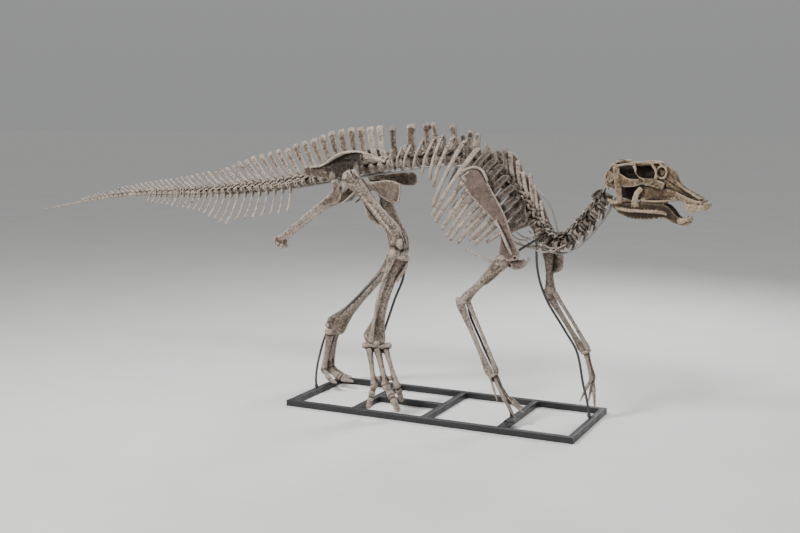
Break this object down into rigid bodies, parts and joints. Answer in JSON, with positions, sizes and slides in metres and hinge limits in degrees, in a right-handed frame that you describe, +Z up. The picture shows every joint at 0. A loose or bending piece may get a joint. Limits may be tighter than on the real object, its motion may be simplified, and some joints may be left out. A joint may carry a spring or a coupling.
{
  "type": "mounted dinosaur skeleton",
  "caption": "Life-size mounted skeleton of a young duck-billed dinosaur in a walking pose, with its head low, carried by steel rods on an open rectangular steel base.",
  "frame": {"origin": "on the floor, at the middle of the base's central cross member", "axes": "+X to the head along the base, +Y to the animal's left, +Z up"},
  "size_m": [5.1531, 0.7754, 1.8873],
  "materials": {
    "bone_limbs": "dry grey-beige fossil bone with dark speckle, pores and cracks",
    "bone_column": "dry grey-beige fossil bone, darker in the hollows and lighter on the edges",
    "bone_skull": "tan to brown fossil bone with dark sutures and a satin rub",
    "stand_steel": "satin black paint on steel"
  },
  "bodies": {
    "root": {"chest_left": "bone_column", "chest_right": "bone_column", "femur_left": "bone_limbs", "femur_right": "bone_limbs", "fibula_left": "bone_limbs", "fibula_right": "bone_limbs", "foot_left": "bone_limbs", "foot_right": "bone_limbs", "hand_left": "bone_limbs", "hand_right": "bone_limbs", "humerus_left": "bone_limbs", "humerus_right": "bone_limbs", "ilium_left": "bone_limbs", "ilium_right": "bone_limbs", "ischium_left": "bone_limbs", "ischium_right": "bone_limbs", "mandible": "bone_skull", "neck_lower": "bone_column", "neck_upper": "bone_column", "pubis_left": "bone_limbs", "pubis_right": "bone_limbs", "radius_left": "bone_limbs", "radius_right": "bone_limbs", "sacrum": "bone_column", "scapula_left": "bone_limbs", "scapula_right": "bone_limbs", "skull": "bone_skull", "stand_cross_front": "stand_steel", "stand_cross_middle": "stand_steel", "stand_cross_rear": "stand_steel", "stand_end_front": "stand_steel", "stand_end_rear": "stand_steel", "stand_foot_plate": "stand_steel", "stand_link": "stand_steel", "stand_rail_left": "stand_steel", "stand_rail_right": "stand_steel", "stand_rod_back": "stand_steel", "stand_rod_fore_left": "stand_steel", "stand_rod_fore_right": "stand_steel", "stand_rod_front": "stand_steel", "stand_rod_hind_left": "stand_steel", "stand_rod_hind_right": "stand_steel", "stand_rod_neck_left": "stand_steel", "stand_rod_neck_right": "stand_steel", "sternum_left": "bone_limbs", "sternum_right": "bone_limbs", "tail_base": "bone_column", "tail_end": "bone_column", "tail_middle": "bone_column", "tail_rear": "bone_column", "tibia_left": "bone_limbs", "tibia_right": "bone_limbs", "ulna_left": "bone_limbs", "ulna_right": "bone_limbs"}
  },
  "joints": []
}
